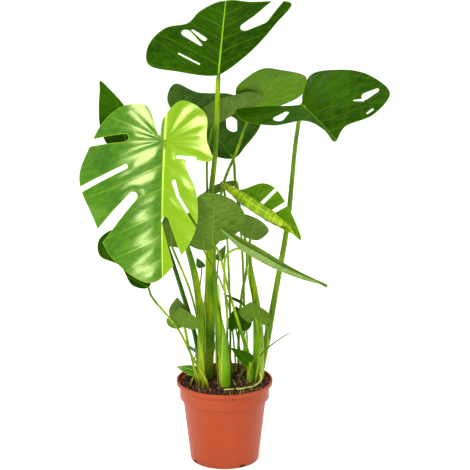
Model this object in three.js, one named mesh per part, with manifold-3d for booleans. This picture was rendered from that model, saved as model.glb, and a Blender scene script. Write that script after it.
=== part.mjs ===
// A potted Swiss cheese plant: several young plants share one plastic nursery pot, so every leaf
// rises on its own stalk from the compost. Millimetres, +Z up, the pot's axis on Z, its foot at z = 0.
import * as THREE from "three";
import { mergeVertices } from "three/addons/utils/BufferGeometryUtils.js";
import Module from "manifold-3d";

const wasm = await Module();
wasm.setup();

// Driving dimensions.
const clearance = 0.35; // between neighbouring pieces
const bladeThickness = 1;
const potHeight = 148;
const lipRadius = 85;
const lipHeight = 7; // of the lip's upright face
const collarHeight = 32; // from the crease under the collar to the top
const collarStep = 6; // how far the collar stands out over the body
const footRadius = 60.5;
const bodyRadius = 73; // at the crease
const footRound = 3;
const potWall = 1.8;
const potFloor = 2.5;
const drainNotches = 4;
const drainNotchWidth = 10;
const drainNotchHeight = 5.5;
const drainNotchDepth = 14;
const drainNotchTurn = 32; // degrees from the front to the first notch
const soilLevel = 139; // at the front and left
const soilRadius = 76.5;
const heap = { x: 50, y: 32, height: 8, spread: 36 }; // where the compost is piled up
const crumbs = { height: 0.8, across: 50, along: 56 }; // the lumps of its surface
const stalkFoot = 126; // how deep the stalks stand in the compost
const stalkSides = 6;
const rolledSides = 8; // of the leaf that is still rolled up
const roundSides = 32;
const soilRings = [1, 0.73, 0.42, 0]; // shares of the compost's radius
const centreShare = 0.3; // of a blade's length, unless it names its own centre

const colour = {
  terracotta: 0xb9532c,
  compost: 0x3a2114,
  deepGreen: 0x1f5a10,
  brightGreen: 0x74b015,
  greyGreen: 0x5f7f42,
  stalkGreen: 0x6f9a33,
  darkStalk: 0x3c6a1c,
  rootStraw: 0xb9a34e,
};

function material(tint, roughness) {
  return new THREE.MeshStandardMaterial({ color: tint, roughness, metalness: 0 });
}

const potPlastic = material(colour.terracotta, 0.5);
const peat = material(colour.compost, 0.95);
const deepLeaf = material(colour.deepGreen, 0.4);
const brightLeaf = material(colour.brightGreen, 0.3);
const greyLeaf = material(colour.greyGreen, 0.55);
const lightStalk = material(colour.stalkGreen, 0.45);
const deepStalk = material(colour.darkStalk, 0.45);
const rootSkin = material(colour.rootStraw, 0.7);

const degrees = THREE.MathUtils.degToRad;
const plant = new THREE.Group();
plant.name = "potted_monstera";

// Solids.

function solidFrom(geometry) {
  const bare = geometry.clone();
  for (const name of Object.keys(bare.attributes)) {
    if (name !== "position") bare.deleteAttribute(name);
  }
  const merged = mergeVertices(bare, 1e-4);
  const mesh = new wasm.Mesh({
    numProp: 3,
    vertProperties: merged.attributes.position.array,
    triVerts: new Uint32Array(merged.index.array),
  });
  return new wasm.Manifold(mesh);
}

function largestBody(solid) {
  const bodies = solid.decompose();
  return bodies.reduce((most, body) => (body.volume() > most.volume() ? body : most));
}

function geometryFrom(solid) {
  const mesh = solid.getMesh();
  const geometry = new THREE.BufferGeometry();
  geometry.setAttribute("position", new THREE.BufferAttribute(mesh.vertProperties, 3));
  geometry.setIndex(new THREE.BufferAttribute(mesh.triVerts, 1));
  geometry.computeVertexNormals();
  return geometry;
}

function addPiece(name, geometry, finish) {
  const mesh = new THREE.Mesh(geometry, finish);
  mesh.name = name;
  plant.add(mesh);
  return mesh;
}

function indexed(points, faces) {
  const geometry = new THREE.BufferGeometry();
  geometry.setAttribute("position", new THREE.Float32BufferAttribute(points.flat(), 3));
  geometry.setIndex(faces.flat());
  return geometry;
}

// Stalks and roots: a tube along a smooth curve whose every point is [x, y, z, radius].

const stepsPerSpan = 3;

function radiusAt(route, t) {
  const place = t * (route.length - 1);
  const before = Math.min(Math.floor(place), route.length - 2);
  return THREE.MathUtils.lerp(route[before][3], route[before + 1][3], place - before);
}

function tubeAlong(route, extra = 0, sides = stalkSides) {
  const places = route.map(([x, y, z]) => new THREE.Vector3(x, y, z));
  const curve = new THREE.CatmullRomCurve3(places, false, "centripetal");
  const steps = stepsPerSpan * (route.length - 1);
  const points = [];
  const faces = [];
  const side = new THREE.Vector3(1, 0, 0);
  for (let i = 0; i <= steps; i++) {
    const centre = curve.getPoint(i / steps);
    const along = curve.getTangent(i / steps);
    if (i === 0) centre.addScaledVector(along, -extra);
    if (i === steps) centre.addScaledVector(along, extra);
    side.addScaledVector(along, -side.dot(along)).normalize();
    const across = new THREE.Vector3().crossVectors(along, side);
    const radius = radiusAt(route, i / steps) + extra;
    for (let j = 0; j < sides; j++) {
      const angle = (j / sides) * 2 * Math.PI;
      const point = centre
        .clone()
        .addScaledVector(side, radius * Math.cos(angle))
        .addScaledVector(across, radius * Math.sin(angle));
      points.push(point.toArray());
    }
  }
  for (let i = 0; i < steps; i++) {
    for (let j = 0; j < sides; j++) {
      const a = i * sides + j;
      const b = i * sides + ((j + 1) % sides);
      faces.push([a, b, b + sides], [a, b + sides, a + sides]);
    }
  }
  const last = steps * sides;
  for (let j = 1; j < sides - 1; j++) {
    faces.push([0, j + 1, j], [last, last + j, last + j + 1]);
  }
  return indexed(points, faces);
}

// A leaf's stalk runs from the leaf through its stalk points, then straight down into the compost.
// A point with no radius of its own keeps the one before it.
function stalkRoute(leaf) {
  const route = [[...leaf.at, leaf.stalkRadius]];
  for (const [x, y, z, radius] of leaf.stalk) {
    route.push([x, y, z, radius ?? route.at(-1)[3]]);
  }
  const [x, y, , radius] = route.at(-1);
  return [...route, [x, y, stalkFoot, radius]];
}

// Leaf blades. A blade is drawn flat: u runs from the stalk to the tip along the midrib, v is
// positive to the left of it. It is then bent: the midrib droops, and each half folds at the
// midrib and curls.

const outlineSteps = 3; // from one outline point to the next

function smoothOutline(points) {
  const corners = points.map(([u, v]) => new THREE.Vector3(u, v, 0));
  const curve = new THREE.CatmullRomCurve3(corners, true, "centripetal");
  const places = curve.getPoints(outlineSteps * points.length).slice(0, -1);
  return places.map(({ x, y }) => [x, y]);
}

function arcPoint(length, start, turnPerLength) {
  if (Math.abs(turnPerLength) < 1e-6) return [length * Math.cos(start), length * Math.sin(start)];
  const end = start + turnPerLength * length;
  return [
    (Math.sin(end) - Math.sin(start)) / turnPerLength,
    (Math.cos(start) - Math.cos(end)) / turnPerLength,
  ];
}

function bend(leaf, u, v, height) {
  const { droop = 8, foldLeft = 0, foldRight = 0, curlLeft = 0, curlRight = 0 } = leaf;
  const turn = -degrees(droop) / leaf.length;
  const fold = degrees(v < 0 ? foldRight : foldLeft);
  const curl = degrees(v < 0 ? curlRight : curlLeft) / leaf.half;
  const [across, lift] = arcPoint(Math.abs(v), fold, curl);
  const slope = fold + curl * Math.abs(v);
  const y = (across - Math.sin(slope) * height) * (v < 0 ? -1 : 1);
  const w = lift + Math.cos(slope) * height;
  const [x, z] = arcPoint(u, 0, turn);
  const tilt = turn * u;
  return [x - Math.sin(tilt) * w, y, z + Math.cos(tilt) * w];
}

function bentPrism(leaf, outline, rings, centre, halfHeight) {
  const points = [];
  const faces = [];
  const count = outline.length;
  const perSide = rings * count + 1;
  for (const height of [halfHeight, -halfHeight]) {
    points.push(bend(leaf, ...centre, height));
    for (let ring = 1; ring <= rings; ring++) {
      for (const [u, v] of outline) {
        const part = ring / rings;
        const at = [centre[0] + (u - centre[0]) * part, centre[1] + (v - centre[1]) * part];
        points.push(bend(leaf, ...at, height));
      }
    }
  }
  const upper = (ring, j) => (ring === 0 ? 0 : 1 + (ring - 1) * count + (j % count));
  for (let j = 0; j < count; j++) {
    for (let ring = 0; ring < rings; ring++) {
      const inner = [upper(ring, j), upper(ring, j + 1)];
      const outer = [upper(ring + 1, j), upper(ring + 1, j + 1)];
      faces.push([inner[0], outer[0], outer[1]]);
      faces.push([inner[0] + perSide, outer[1] + perSide, outer[0] + perSide]);
      if (ring > 0) {
        faces.push([inner[0], outer[1], inner[1]]);
        faces.push([inner[0] + perSide, inner[1] + perSide, outer[1] + perSide]);
      }
    }
    const rim = [upper(rings, j), upper(rings, j + 1)];
    faces.push([rim[0], rim[0] + perSide, rim[1] + perSide], [rim[0], rim[1] + perSide, rim[1]]);
  }
  return indexed(points, faces);
}

// A slot or hole: a tapered slit with round ends, from its root to its mouth.
const slotEndPoints = 3;
const slotReach = 9; // a cutter stands this far out of both faces of the blade

function slotOutline([u0, v0, width0, u1, v1, width1]) {
  const heading = Math.atan2(v1 - v0, u1 - u0);
  const outline = [];
  const ends = [
    [u1, v1, width1, heading - Math.PI / 2],
    [u0, v0, width0, heading + Math.PI / 2],
  ];
  for (const [u, v, width, start] of ends) {
    for (let i = 0; i <= slotEndPoints; i++) {
      const angle = start + (Math.PI * i) / slotEndPoints;
      outline.push([u + (width / 2) * Math.cos(angle), v + (width / 2) * Math.sin(angle)]);
    }
  }
  return outline;
}

function turnedCounterClockwise(outline) {
  return THREE.ShapeUtils.isClockWise(outline.map(([u, v]) => new THREE.Vector2(u, v)))
    ? [...outline].reverse()
    : outline;
}

function placeLeaf(object, leaf) {
  const [heading, pitch, roll] = leaf.turn.map(degrees);
  object.position.set(...leaf.at);
  object.rotation.set(roll, -pitch, heading, "ZYX");
}

function addLeaf(leaf) {
  const outline = turnedCounterClockwise(smoothOutline(leaf.outline));
  const centre = leaf.centre ?? [centreShare * leaf.length, 0];
  let blade = solidFrom(bentPrism(leaf, outline, leaf.rings ?? 2, centre, bladeThickness / 2));
  for (const slot of leaf.slots ?? []) {
    const cutter = turnedCounterClockwise(slotOutline(slot));
    const middle = [(slot[0] + slot[3]) / 2, (slot[1] + slot[4]) / 2];
    blade = blade.subtract(solidFrom(bentPrism(leaf, cutter, 1, middle, slotReach)));
  }
  if (leaf.roll) blade = blade.add(solidFrom(tubeAlong(leaf.roll, 0, rolledSides)));
  const place = new THREE.Object3D();
  placeLeaf(place, leaf);
  place.updateMatrix();
  const route = stalkRoute(leaf);
  const stalkHole = tubeAlong(route, clearance).applyMatrix4(place.matrix.clone().invert());
  blade = largestBody(blade.subtract(solidFrom(stalkHole)));
  placeLeaf(addPiece("leaf_" + leaf.name, geometryFrom(blade), leaf.finish), leaf);
  addPiece("stalk_" + leaf.name, tubeAlong(route), leaf.stalkFinish ?? lightStalk);
}

// A plain heart: its length, the width of each half, how far its lobes reach back past the stalk,
// and how far its tip sweeps to the left.
function heart(length, left, right, back, sweep = 0) {
  const half = (width) => [
    [0.85 * length, 0.28 * width + 0.7 * sweep],
    [0.55 * length, 0.74 * width + 0.3 * sweep],
    [0.25 * length, width],
    [0, 0.85 * width],
    [-back, 0.45 * width],
  ];
  return [[length, sweep], ...half(left), [0, 0], ...half(-right).reverse()];
}

// Each leaf: at is where the stalk meets it, turn is its heading from +X, its pitch upwards and its
// roll, the left half up. Angles are degrees.
const leaves = [
  {
    name: "top",
    finish: deepLeaf,
    at: [-10, -10, 695],
    turn: [-82, 60, -5],
    length: 240,
    half: 130,
    droop: 10,
    foldLeft: 12,
    foldRight: 12,
    centre: [30, 0],
    rings: 3,
    outline: [
      [5, -5], [0, -70], [5, -120], [40, -125], [95, -95], [115, -60], [150, -40],
      [185, 0], [175, 40], [155, 115], [110, 90], [45, 45],
    ],
    slots: [
      [90, -60, 18, 70, -35, 6],
      [100, -50, 5, 85, -30, 10],
      [40, -70, 4, 25, -35, 4],
      [115, 40, 20, 130, 65, 30],
      [130, 65, 30, 165, 90, 20],
    ],
    stalkRadius: 4,
    stalk: [[-15, -5, 570], [-25, 5, 460, 5], [-25, 15, 310, 10], [-30, 15, 215, 12], [-30, 20, 150, 9]],
  },
  {
    name: "big_left",
    finish: brightLeaf,
    at: [-100, -70, 600],
    turn: [-96, -62, 8],
    length: 290,
    half: 120,
    droop: 22,
    foldLeft: 10,
    foldRight: 15,
    curlLeft: -20,
    curlRight: -30,
    centre: [20, 0],
    rings: 3,
    outline: [
      [-10, -10], [-60, -35], [-60, -75], [-20, -125], [50, -150], [130, -125], [195, -90],
      [240, -20], [205, 25], [150, 60], [90, 60], [35, 40], [35, 85], [0, 75], [-45, 70],
      [-70, 25], [-40, -5],
    ],
    slots: [
      [-5, -70, 14, 0, -140, 12],
      [45, -65, 8, 85, -150, 10],
      [95, -50, 15, 170, -120, 24],
      [28, 25, 5, 32, 55, 7],
      [70, 20, 7, 95, 28, 5],
      [95, 28, 5, 150, 65, 4],
      [135, 5, 13, 210, 30, 20],
    ],
    stalkRadius: 3,
    stalk: [
      [-100, -60, 565], [-80, -35, 460, 3.5], [-50, -20, 340, 6], [-40, -15, 225, 6.5], [-40, -15, 150],
    ],
  },
  {
    name: "upper_left",
    finish: deepLeaf,
    at: [-170, 20, 575],
    turn: [112, 58, 0],
    length: 120,
    half: 40,
    droop: 12,
    outline: heart(120, 40, 25, 0, 20),
    stalkFinish: deepStalk,
    stalkRadius: 2.5,
    stalk: [[-110, 15, 420, 3], [-75, 10, 310, 4], [-50, 10, 215], [-45, 10, 150]],
  },
  {
    name: "lower_left",
    finish: deepLeaf,
    at: [-130, -85, 345],
    turn: [172, 28, -55],
    length: 100,
    half: 60,
    droop: 10,
    centre: [55, -30],
    outline: [[0, 0], [10, -35], [55, -70], [100, -65], [115, -35], [100, -10], [60, -10], [25, 10]],
    stalkRadius: 2,
    stalk: [[-125, -85, 330], [-80, -70, 265], [-55, -50, 205], [-30, -35, 150, 2.5]],
  },
  {
    name: "holed",
    finish: deepLeaf,
    at: [15, 60, 535],
    turn: [132, 38, 0],
    length: 190,
    half: 85,
    droop: 20,
    centre: [80, -15],
    rings: 3,
    outline: [
      [0, 0], [20, 40], [70, 50], [130, 40], [175, 20], [215, -35], [175, -50], [145, -110],
      [100, -140], [55, -105], [20, -45],
    ],
    slots: [[85, -60, 21, 65, -45, 20]],
    stalkRadius: 2.5,
    stalk: [[20, 60, 480], [40, 60, 350], [30, 60, 280], [25, 60, 200]],
  },
  {
    name: "side",
    finish: greyLeaf,
    at: [-20, 40, 600],
    turn: [15, 32, -55],
    length: 110,
    half: 40,
    centre: [30, -20],
    outline: [[-5, 0], [-10, -35], [-10, -60], [50, -45], [85, -25], [100, 15], [55, 8]],
    stalkRadius: 2,
    stalk: [[-25, 40, 575], [-30, 40, 540], [-30, 45, 465], [-30, 50, 150]],
  },
  {
    name: "pale",
    finish: brightLeaf,
    at: [45, 95, 605],
    turn: [-25, 58, -20],
    length: 150,
    half: 70,
    droop: 15,
    centre: [50, 0],
    rings: 3,
    outline: [
      [0, 0], [20, -40], [75, -90], [110, -60], [110, -10], [90, 80], [60, 100], [30, 80], [5, 30],
    ],
    stalkRadius: 2.5,
    stalk: [
      [20, 40, 550], [0, 0, 510], [-15, -25, 430], [-15, -30, 305, 3], [-5, -25, 230, 8.5],
      [0, -20, 165, 10],
    ],
  },
  {
    name: "right",
    finish: deepLeaf,
    at: [135, 15, 640],
    turn: [-62, -12, 6],
    length: 230,
    half: 150,
    droop: 20,
    foldLeft: 30,
    foldRight: -4,
    centre: [20, 0],
    rings: 3,
    outline: [
      [-8, 0], [-40, -60], [-55, -100], [-20, -110], [30, -75], [45, -20], [85, -5], [120, -5],
      [105, 25], [120, 75], [105, 120], [50, 120], [-15, 90], [-55, 55], [-25, 15],
    ],
    slots: [
      [5, -35, 9, 15, -55, 19],
      [80, 108, 9, 76, 88, 16],
      [68, 68, 3, 80, 80, 6],
      [110, 80, 5, 110, 70, 4],
    ],
    stalkRadius: 3.5,
    stalk: [[125, 25, 585], [110, 35, 420, 4.5], [95, 40, 325, 5], [75, 35, 205, 6], [65, 25, 150, 5]],
  },
  {
    name: "middle",
    finish: greyLeaf,
    at: [-20, -60, 420],
    turn: [-84, 72, 0],
    length: 105,
    half: 45,
    centre: [45, 5],
    outline: [[0, 0], [20, -25], [75, -35], [105, -20], [90, 30], [45, 55], [10, 35]],
    stalkRadius: 2,
    stalk: [[-10, -55, 400], [10, -35, 315], [35, -15, 220, 3], [45, -5, 170, 6.5]],
  },
  {
    name: "low",
    finish: greyLeaf,
    at: [-35, -30, 395],
    turn: [-95, 70, 0],
    length: 100,
    half: 48,
    outline: [[0, 0], [15, -30], [50, -40], [85, -20], [80, 15], [45, 35], [10, 20]],
    stalkRadius: 1.5,
    stalk: [[-5, -15, 330], [10, 10, 265], [20, 30, 155]],
  },
  {
    name: "low_left",
    finish: greyLeaf,
    at: [-90, -40, 405],
    turn: [-100, 70, 0],
    length: 85,
    half: 36,
    outline: heart(85, 22, 20, 2),
    stalkRadius: 2,
    stalk: [[-60, -35, 325], [-45, -35, 260], [-35, -30, 150]],
  },
  {
    name: "inner",
    finish: greyLeaf,
    at: [45, 20, 400],
    turn: [-60, 66, 0],
    length: 90,
    half: 40,
    centre: [25, -4],
    outline: [[0, 0], [25, -30], [65, -40], [45, 5], [10, 35], [-5, 20]],
    stalkRadius: 2.5,
    stalk: [[45, 20, 360, 3], [55, 20, 290, 6], [60, 15, 230, 8.5], [60, 5, 165, 9.5]],
  },
  {
    name: "edge_on",
    finish: greyLeaf,
    at: [20, 40, 500],
    turn: [200, 5, 62],
    length: 100,
    half: 22,
    centre: [30, -12],
    outline: [[0, 0], [35, -8], [65, -40], [20, -25], [0, -10]],
    stalkRadius: 2,
    stalk: [[30, 45, 390], [35, 50, 250], [35, 50, 150]],
  },
  {
    name: "strap",
    finish: greyLeaf,
    at: [25, -85, 415],
    turn: [-14, -32, 0],
    length: 165,
    half: 20,
    droop: -25,
    foldLeft: 76,
    foldRight: 66,
    centre: [20, 0],
    outline: [
      [165, 0], [110, 12], [20, 20], [-40, 10], [0, 0], [-48, -10], [-10, -15], [60, -15], [120, -10],
    ],
    stalkRadius: 2,
    stalk: [[5, -85, 405], [0, -75, 365], [5, -30, 270], [5, 0, 200], [10, 10, 150]],
  },
  {
    name: "unfurling",
    finish: brightLeaf,
    at: [-5, -20, 515],
    turn: [-30, -22, 50],
    length: 170,
    half: 40,
    centre: [80, 8],
    outline: [[0, 0], [60, -5], [125, -5], [175, -12], [140, 15], [85, 40], [62, 36], [35, 5]],
    slots: [
      [82, 4, 6, 90, 46, 6],
      [107, 4, 7, 121, 34, 9],
    ],
    roll: [[5, -3, 3, 5], [60, -8, 8, 13], [110, -9, 9, 12], [172, -11, 2, 2]],
    stalkRadius: 2,
    stalk: [[0, -25, 500], [5, -10, 410], [10, 30, 250], [10, 40, 150]],
  },
  {
    name: "small_front",
    finish: greyLeaf,
    at: [-70, -60, 265],
    turn: [-100, 65, 0],
    length: 50,
    half: 30,
    outline: heart(50, 30, 30, 5),
    stalkRadius: 1.5,
    stalk: [[-60, -50, 215], [-45, -30, 150]],
  },
  {
    name: "small_back",
    finish: greyLeaf,
    at: [-70, -45, 270],
    turn: [-120, 70, 0],
    length: 55,
    half: 25,
    outline: heart(55, 20, 28, 5),
    stalkRadius: 1.4,
    stalk: [[-60, -35, 210], [-50, -20, 150]],
  },
  {
    name: "small_right",
    finish: greyLeaf,
    at: [55, -30, 270],
    turn: [-110, 62, 0],
    length: 45,
    half: 30,
    outline: heart(45, 30, 30, 13),
    stalkRadius: 1.8,
    stalk: [[60, -20, 230], [60, -20, 190], [55, -15, 150]],
  },
  {
    name: "small_dark",
    finish: deepLeaf,
    at: [20, -10, 245],
    turn: [90, 55, 0],
    length: 42,
    half: 28,
    outline: heart(42, 15, 28, 5),
    stalkFinish: deepStalk,
    stalkRadius: 1.5,
    stalk: [[25, 0, 215], [30, 10, 165]],
  },
  {
    name: "small_green",
    finish: deepLeaf,
    at: [45, -35, 190],
    turn: [150, 30, -40],
    length: 45,
    half: 13,
    outline: heart(45, 10, 14, 1),
    stalkRadius: 1.4,
    stalk: [[42, -25, 165], [40, -15, 148]],
  },
  {
    name: "small_grey",
    finish: greyLeaf,
    at: [5, 10, 215],
    turn: [165, 30, 30],
    length: 25,
    half: 10,
    outline: heart(25, 10, 10, 3),
    stalkRadius: 1.3,
    stalk: [[10, 15, 185], [15, 20, 150]],
  },
  {
    name: "small_sliver",
    finish: deepLeaf,
    at: [30, 0, 290],
    turn: [165, 25, -5],
    length: 38,
    half: 6,
    outline: heart(38, 6, 5, 2),
    stalkFinish: deepStalk,
    stalkRadius: 1.3,
    stalk: [[35, 10, 275], [40, 25, 215], [40, 35, 155]],
  },
  {
    name: "small_left",
    finish: greyLeaf,
    at: [-50, 25, 190],
    turn: [160, 30, 45],
    length: 24,
    half: 10,
    outline: heart(24, 10, 10, 2),
    stalkRadius: 1.2,
    stalk: [[-55, 25, 170], [-55, 30, 150]],
  },
  {
    name: "rim",
    finish: brightLeaf,
    at: [-50, -5, 165],
    turn: [172, 12, -28],
    length: 36,
    half: 14,
    outline: heart(36, 14, 10, 2),
    stalkRadius: 1.5,
    stalk: [[-55, -10, 155], [-60, -20, 142]],
  },
  {
    name: "bud_high",
    finish: deepLeaf,
    at: [-10, 25, 360],
    turn: [50, 55, 0],
    length: 30,
    half: 10,
    outline: heart(30, 10, 9, 1),
    stalkRadius: 1.3,
    stalk: [[-15, 35, 285], [-15, 35, 150]],
  },
  {
    name: "bud_low",
    finish: deepLeaf,
    at: [-40, 30, 345],
    turn: [130, 50, 0],
    length: 20,
    half: 9,
    outline: heart(20, 9, 9, 1),
    stalkRadius: 1.2,
    stalk: [[-45, 35, 285], [-40, 35, 150]],
  },
];
leaves.forEach(addLeaf);

// Thin shoots and roots that carry no blade.
const shoots = {
  tendril: [
    [55, -8, stalkFoot, 1.3], [55, -8, 150, 1.3], [60, -10, 190, 1.3], [100, -15, 230, 1],
    [115, -20, 240, 0.6],
  ],
  dry_stalk: [[25, -10, stalkFoot, 1.1], [25, -10, 150, 1.1], [35, -15, 170, 1], [50, -20, 200, 0.8]],
};
const roots = {
  root_aerial: [
    [-5, -40, 142, 1.6], [30, -40, 144, 2], [55, -30, 147, 1.8], [65, -20, 155, 1.6],
    [62, -12, 165, 1.4],
  ],
  root_straw: [[20, 20, 143, 1], [15, 0, 144, 1.1], [20, -20, 144, 0.9]],
};
for (const [name, route] of Object.entries(shoots)) addPiece(name, tubeAlong(route), deepStalk);
for (const [name, route] of Object.entries(roots)) addPiece(name, tubeAlong(route), rootSkin);

// The pot: a tapered body, a crease, an upright collar and a rolled lip.
const crease = potHeight - collarHeight;
const lipFoot = potHeight - lipHeight;
const potOutside = [
  [footRadius - footRound, 0],
  [footRadius, footRound],
  [bodyRadius, crease - collarStep],
  [bodyRadius + collarStep, crease],
  [bodyRadius + collarStep, lipFoot - collarStep / 2],
  [lipRadius, lipFoot],
  [lipRadius, potHeight - potWall],
  [lipRadius - potWall, potHeight],
];
const potInside = [
  [lipRadius - 2 * potWall, potHeight],
  [lipRadius - 2 * potWall, lipFoot],
  [bodyRadius + collarStep - potWall, lipFoot - collarStep / 2],
  [bodyRadius + collarStep - potWall, crease],
  [bodyRadius - potWall, crease - collarStep],
  [footRadius - potWall, potFloor],
];

function lathe(profile) {
  const points = profile.map(([radius, z]) => new THREE.Vector2(radius, z));
  return new THREE.LatheGeometry(points, roundSides).rotateX(Math.PI / 2);
}

function buildPot() {
  let pot = solidFrom(lathe([[0, 0], ...potOutside, ...potInside, [0, potFloor]]));
  for (let i = 0; i < drainNotches; i++) {
    const turn = degrees(drainNotchTurn - 90 + (360 / drainNotches) * i);
    const notch = new THREE.BoxGeometry(drainNotchDepth, drainNotchWidth, 2 * drainNotchHeight);
    notch.translate(footRadius, 0, 0).rotateZ(turn);
    pot = pot.subtract(solidFrom(notch));
  }
  return geometryFrom(pot);
}
addPiece("pot", buildPot(), potPlastic);

// The compost: filled to just under the collar's top, heaped to one side, with a socket for every
// stalk and root.
function soilHeight(x, y) {
  const fromHeap = ((x - heap.x) ** 2 + (y - heap.y) ** 2) / (2 * heap.spread ** 2);
  const wave = Math.sin((2 * Math.PI * x) / crumbs.across) * Math.cos((2 * Math.PI * y) / crumbs.along);
  return soilLevel + heap.height * Math.exp(-fromHeap) + crumbs.height * wave;
}

function buildSoil() {
  const wall = [...potInside].reverse().map(([radius, z]) => [radius - clearance, z]);
  const side = wall.filter(([, z]) => z < soilLevel - clearance);
  side[0][1] = potFloor + clearance;
  const floor = [0, side[0][1]];
  const rings = soilRings.map((part) => [part * soilRadius, soilLevel]);
  const geometry = lathe([floor, ...side, ...rings]);
  const place = geometry.attributes.position;
  for (let i = 0; i < place.count; i++) {
    if (Math.abs(place.getZ(i) - soilLevel) > 0.01) continue;
    place.setZ(i, soilHeight(place.getX(i), place.getY(i)));
  }
  let soil = solidFrom(geometry);
  const sunk = [...leaves.map(stalkRoute), ...Object.values(shoots), ...Object.values(roots)];
  for (const route of sunk) soil = soil.subtract(solidFrom(tubeAlong(route, clearance)));
  return geometryFrom(largestBody(soil));
}
addPiece("compost", buildSoil(), peat);

export default plant;
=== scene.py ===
import math

import bpy
import numpy as np
from mathutils import Matrix, Vector, noise
from mathutils.geometry import delaunay_2d_cdt


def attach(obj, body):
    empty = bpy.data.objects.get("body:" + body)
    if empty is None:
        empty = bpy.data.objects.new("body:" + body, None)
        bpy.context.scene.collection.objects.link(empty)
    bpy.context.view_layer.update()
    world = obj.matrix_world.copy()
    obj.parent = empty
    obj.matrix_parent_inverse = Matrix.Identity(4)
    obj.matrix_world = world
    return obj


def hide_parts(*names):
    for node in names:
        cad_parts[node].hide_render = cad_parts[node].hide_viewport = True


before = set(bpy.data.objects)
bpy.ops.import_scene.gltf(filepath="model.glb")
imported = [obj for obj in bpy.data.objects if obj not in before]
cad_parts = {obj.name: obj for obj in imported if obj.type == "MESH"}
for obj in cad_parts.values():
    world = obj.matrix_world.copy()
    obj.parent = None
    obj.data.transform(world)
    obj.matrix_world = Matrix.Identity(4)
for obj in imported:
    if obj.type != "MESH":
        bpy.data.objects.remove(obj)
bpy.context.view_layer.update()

mm = 0.001  # leaf, stalk and pot sizes below are in millimetres
scene = bpy.context.scene


def radians(*angles):
    return tuple(math.radians(a) for a in angles)


# Camera and studio light

camera = dict(place=(0.0185, -4.0, 1.6167), tiltDown=16.74, lens=184.1, farthest=60)
room = dict(glow=0.65, floorReach=30, floorShade=0.93, floorRough=0.9, floorGlow=0.2)
softBoxes = {
    "keyLight": dict(place=(-1.2, -2.4, 3.0), aim=(-0.05, 0, 0.5), size=(1.3, 1.3), power=60),
    "frontStrip": dict(place=(-1.15, -4.3, 1.0), aim=(-0.1, 0, 0.5), size=(0.6, 1.6), power=42),
    "fillLight": dict(place=(2.6, -1.8, 1.5), aim=(0, 0, 0.4), size=(1.4, 1.8), power=8),
    "topLight": dict(place=(0.2, 0.9, 3.2), aim=(0, 0, 0.5), size=(2.0, 1.6), power=28),
    "backLight": dict(place=(-1.8, 2.6, 1.6), aim=(0, 0, 0.5), size=(1.4, 1.4), power=10),
}


def makeCamera():
    data = bpy.data.cameras.new("studioCamera")
    data.lens = camera["lens"]
    data.sensor_width = 36
    data.clip_end = camera["farthest"]
    eye = bpy.data.objects.new("studioCamera", data)
    eye.location = camera["place"]
    eye.rotation_euler = radians(90 - camera["tiltDown"], 0, 0)
    scene.collection.objects.link(eye)
    scene.camera = eye


def makeSoftBox(name, box):
    data = bpy.data.lights.new(name, "AREA")
    data.shape = "RECTANGLE"
    data.size, data.size_y = box["size"]
    data.energy = box["power"]
    lamp = bpy.data.objects.new(name, data)
    lamp.location = box["place"]
    aim = Vector(box["aim"]) - lamp.location
    lamp.rotation_euler = aim.to_track_quat("-Z", "Y").to_euler()
    scene.collection.objects.link(lamp)


def makeRoom():
    world = bpy.data.worlds.new("paleRoom")
    world.use_nodes = True
    sky = world.node_tree.nodes["Background"]
    sky.inputs["Color"].default_value = (1, 1, 1, 1)
    sky.inputs["Strength"].default_value = room["glow"]
    scene.world = world
    scene.view_settings.view_transform = "Standard"
    scene.view_settings.look = "Medium High Contrast"


def makeFloor():
    floorMesh = bpy.data.meshes.new("studioFloor")
    reach = room["floorReach"]
    corners = [(-reach, -reach, 0), (reach, -reach, 0), (reach, reach, 0), (-reach, reach, 0)]
    floorMesh.from_pydata(corners, [], [(0, 1, 2, 3)])
    floor = bpy.data.objects.new("studioFloor", floorMesh)
    scene.collection.objects.link(floor)
    paint = bpy.data.materials.new("paleFloor")
    paint.use_nodes = True
    shader = paint.node_tree.nodes["Principled BSDF"]
    shader.inputs["Base Color"].default_value = (*[room["floorShade"]] * 3, 1)
    shader.inputs["Roughness"].default_value = room["floorRough"]
    shader.inputs["Emission Color"].default_value = (1, 1, 1, 1)
    shader.inputs["Emission Strength"].default_value = room["floorGlow"]
    floorMesh.materials.append(paint)


makeCamera()
for name, box in softBoxes.items():
    makeSoftBox(name, box)
makeRoom()
makeFloor()
print("studio ready")


# Small helpers for building node trees

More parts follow.
